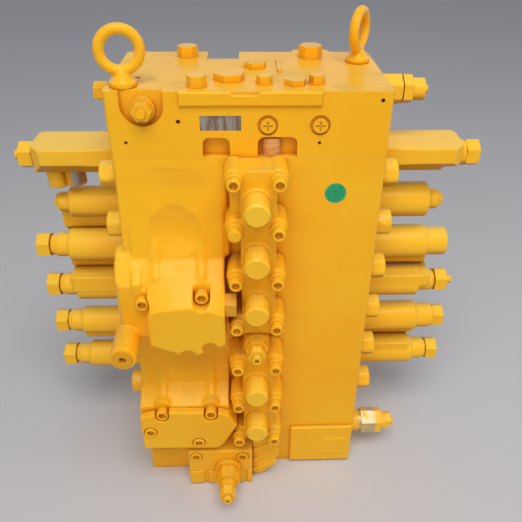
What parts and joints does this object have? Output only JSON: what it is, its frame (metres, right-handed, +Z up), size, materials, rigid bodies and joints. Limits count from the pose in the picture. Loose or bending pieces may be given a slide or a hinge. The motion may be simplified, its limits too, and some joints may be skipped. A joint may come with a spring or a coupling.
{
  "type": "main control valve",
  "caption": "Sectional hydraulic main control valve: cast body crossed by spring-centred spools under end caps, with check valves, relief valves, a top block and lifting eyes",
  "frame": {"origin": "Centre of the underside of the cast body, in the middle of its four mounting holes", "axes": "+X along the spools to the right as seen from the front, +Y from the front with the check valve column to the back with the ports, +Z up"},
  "size_m": [0.7, 0.33, 0.7608],
  "materials": {
    "yellow_cast": "semi-gloss machinery enamel over cast iron",
    "yellow_fitting": "semi-gloss enamel over turned steel",
    "ground_steel": "ground and hardened",
    "spring_steel": "oiled spring wire",
    "seal_rubber": "matt nitrile rubber",
    "bright_fitting": "zinc-plated, partly painted over"
  },
  "bodies": {
    "housing": {"adjusting_screws": "yellow_fitting", "bottom_relief_body": "yellow_fitting", "bottom_valve_block": "yellow_cast", "cap_webs": "yellow_cast", "centring_springs": "spring_steel", "check_valve_caps": "yellow_fitting", "column_screws": "yellow_fitting", "corner_plate": "yellow_cast", "cross_plugs": "yellow_fitting", "eyebolts": "yellow_fitting", "front_housing": "yellow_cast", "housing_plugs": "yellow_fitting", "housing_screws": "yellow_fitting", "left_cap_1": "yellow_cast", "left_cap_2": "yellow_cast", "left_cap_3": "yellow_cast", "left_cap_4": "yellow_cast", "left_cap_5": "yellow_cast", "left_cap_6": "yellow_cast", "lock_nuts": "yellow_fitting", "lower_column_plate": "yellow_cast", "lower_cover": "yellow_cast", "lower_housing": "yellow_cast", "main_relief_body": "yellow_cast", "outlet_cap": "bright_fitting", "outlet_fitting": "bright_fitting", "poppet_springs": "spring_steel", "ribbed_connector": "yellow_cast", "right_cap_1": "yellow_cast", "right_cap_2": "yellow_cast", "right_cap_3": "yellow_cast", "right_cap_4": "yellow_cast", "right_cap_5": "yellow_cast", "right_cap_6": "yellow_cast", "seal_rings": "seal_rubber", "sensor_plug": "yellow_fitting", "side_plugs": "yellow_fitting", "side_screws": "yellow_fitting", "spring_seats": "ground_steel", "top_block": "yellow_cast", "top_block_bolts": "yellow_fitting", "top_fitting": "yellow_fitting", "top_plugs": "yellow_fitting", "upper_column_plate": "yellow_cast", "valve_body": "yellow_cast"},
    "spool_1": {"spool_1": "ground_steel"},
    "spool_2": {"spool_2": "ground_steel"},
    "spool_3": {"spool_3": "ground_steel"},
    "spool_4": {"spool_4": "ground_steel"},
    "spool_5": {"spool_5": "ground_steel"},
    "spool_6": {"spool_6": "ground_steel"},
    "check_poppet_1": {"check_poppet_1": "ground_steel"},
    "check_poppet_2": {"check_poppet_2": "ground_steel"},
    "check_poppet_3": {"check_poppet_3": "ground_steel"},
    "check_poppet_4": {"check_poppet_4": "ground_steel"},
    "check_poppet_5": {"check_poppet_5": "ground_steel"},
    "main_relief_poppet": {"main_relief_poppet": "ground_steel"},
    "bottom_relief_poppet": {"bottom_relief_poppet": "ground_steel"}
  },
  "joints": [
    {"name": "spool_1_slide", "type": "slide", "parent": "housing", "child": "spool_1", "axis": [1, 0, 0], "range_m": [-0.009, 0.009], "stiffness_N_per_m": 8000},
    {"name": "spool_2_slide", "type": "slide", "parent": "housing", "child": "spool_2", "axis": [1, 0, 0], "range_m": [-0.009, 0.009], "stiffness_N_per_m": 8000},
    {"name": "spool_3_slide", "type": "slide", "parent": "housing", "child": "spool_3", "axis": [1, 0, 0], "range_m": [-0.009, 0.009], "stiffness_N_per_m": 8000},
    {"name": "spool_4_slide", "type": "slide", "parent": "housing", "child": "spool_4", "axis": [1, 0, 0], "range_m": [-0.009, 0.009], "stiffness_N_per_m": 8000},
    {"name": "spool_5_slide", "type": "slide", "parent": "housing", "child": "spool_5", "axis": [1, 0, 0], "range_m": [-0.009, 0.009], "stiffness_N_per_m": 8000},
    {"name": "spool_6_slide", "type": "slide", "parent": "housing", "child": "spool_6", "axis": [1, 0, 0], "range_m": [-0.009, 0.009], "stiffness_N_per_m": 8000},
    {"name": "check_poppet_1_lift", "type": "slide", "parent": "housing", "child": "check_poppet_1", "axis": [0, -1, 0], "range_m": [0, 0.006], "stiffness_N_per_m": 1500},
    {"name": "check_poppet_2_lift", "type": "slide", "parent": "housing", "child": "check_poppet_2", "axis": [0, -1, 0], "range_m": [0, 0.006], "stiffness_N_per_m": 1500},
    {"name": "check_poppet_3_lift", "type": "slide", "parent": "housing", "child": "check_poppet_3", "axis": [0, -1, 0], "range_m": [0, 0.006], "stiffness_N_per_m": 1500},
    {"name": "check_poppet_4_lift", "type": "slide", "parent": "housing", "child": "check_poppet_4", "axis": [0, -1, 0], "range_m": [0, 0.006], "stiffness_N_per_m": 1500},
    {"name": "check_poppet_5_lift", "type": "slide", "parent": "housing", "child": "check_poppet_5", "axis": [0, -1, 0], "range_m": [0, 0.006], "stiffness_N_per_m": 1500},
    {"name": "main_relief_poppet_lift", "type": "slide", "parent": "housing", "child": "main_relief_poppet", "axis": [0, -1, 0], "range_m": [0, 0.004], "stiffness_N_per_m": 3000},
    {"name": "bottom_relief_poppet_lift", "type": "slide", "parent": "housing", "child": "bottom_relief_poppet", "axis": [0, -1, 0], "range_m": [0, 0.004], "stiffness_N_per_m": 3000}
  ]
}
